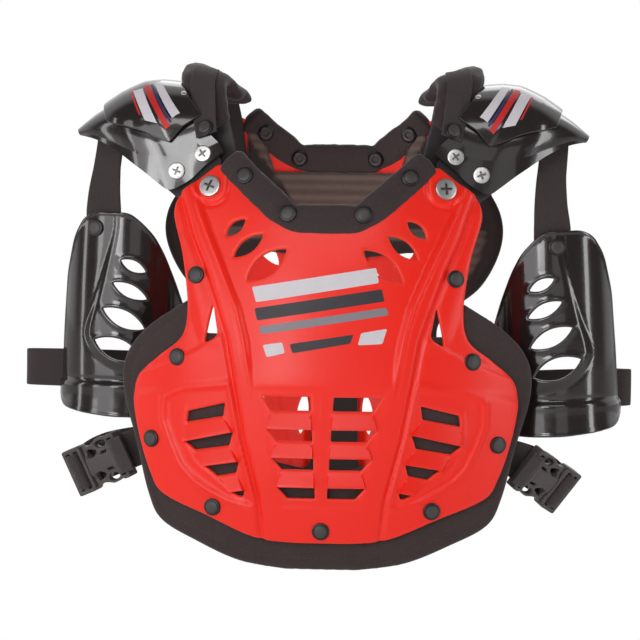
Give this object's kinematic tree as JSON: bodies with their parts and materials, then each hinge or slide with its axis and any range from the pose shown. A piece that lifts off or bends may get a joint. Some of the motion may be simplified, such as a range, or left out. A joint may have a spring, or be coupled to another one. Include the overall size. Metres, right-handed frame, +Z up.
{
  "type": "roost deflector",
  "caption": "Child's roost deflector: vented chest and back plates with padded edges, shoulder caps, hanging arm guards and buckled side straps.",
  "frame": {"origin": "where the guard rests on the wearer's shoulders: midway between the undersides of the two shoulder pads", "axes": "+X to the wearer's left, +Y from the chest to the back, +Z up"},
  "size_m": [0.4173, 0.1726, 0.3341],
  "materials": {
    "red_plastic": "injection-moulded red plastic, satin gloss",
    "foam": "black padding with a cloth face and bound edge",
    "lining_cloth": "brownish grey lining cloth",
    "collar_cloth": "black padded cloth",
    "matt_black": "matt black moulded plastic",
    "webbing": "black woven webbing",
    "gloss_black": "gloss black moulded plastic",
    "rivet_black": "dark grey satin rivet head",
    "steel": "bright turned screw head"
  },
  "bodies": {
    "root": {"front_plate": "red_plastic", "back_plate": "red_plastic", "front_liner": "foam", "back_liner": "lining_cloth", "front_collar": "collar_cloth", "back_collar": "collar_cloth", "shoulder_pad_left": "collar_cloth", "shoulder_pad_right": "collar_cloth", "shoulder_strip_left": "matt_black", "shoulder_strip_right": "matt_black", "cap_bracket_left": "matt_black", "cap_bracket_right": "matt_black", "buckle_socket_left": "matt_black", "buckle_socket_right": "matt_black", "buckle_clip_left": "matt_black", "buckle_clip_right": "matt_black", "snap_strap_left": "webbing", "snap_strap_right": "webbing", "arm_band_left": "webbing", "arm_band_right": "webbing", "hang_strap_left": "webbing", "hang_strap_right": "webbing", "side_strap_front_left": "webbing", "side_strap_front_right": "webbing", "side_strap_back_left": "webbing", "side_strap_back_right": "webbing", "shoulder_cap_left": "gloss_black", "shoulder_cap_right": "gloss_black", "upper_cap_left": "gloss_black", "upper_cap_right": "gloss_black", "arm_guard_left": "gloss_black", "arm_guard_right": "gloss_black", "plate_rivet_middle": "rivet_black", "plate_rivet_top_left": "rivet_black", "plate_rivet_top_right": "rivet_black", "plate_rivet_waist_left": "rivet_black", "plate_rivet_waist_right": "rivet_black", "plate_rivet_side_left": "rivet_black", "plate_rivet_side_right": "rivet_black", "plate_rivet_low_left": "rivet_black", "plate_rivet_low_right": "rivet_black", "collar_rivet_inner_left": "rivet_black", "collar_rivet_inner_right": "rivet_black", "collar_rivet_outer_left": "rivet_black", "collar_rivet_outer_right": "rivet_black", "neck_rivet_inner_left": "rivet_black", "neck_rivet_inner_right": "rivet_black", "neck_rivet_outer_left": "rivet_black", "neck_rivet_outer_right": "rivet_black", "snap_left": "rivet_black", "snap_right": "rivet_black", "guard_rivet_left": "rivet_black", "guard_rivet_right": "rivet_black", "shoulder_screw_left": "steel", "shoulder_screw_right": "steel", "cap_screw_1_left": "steel", "cap_screw_1_right": "steel", "cap_screw_2_left": "steel", "cap_screw_2_right": "steel"}
  },
  "joints": []
}
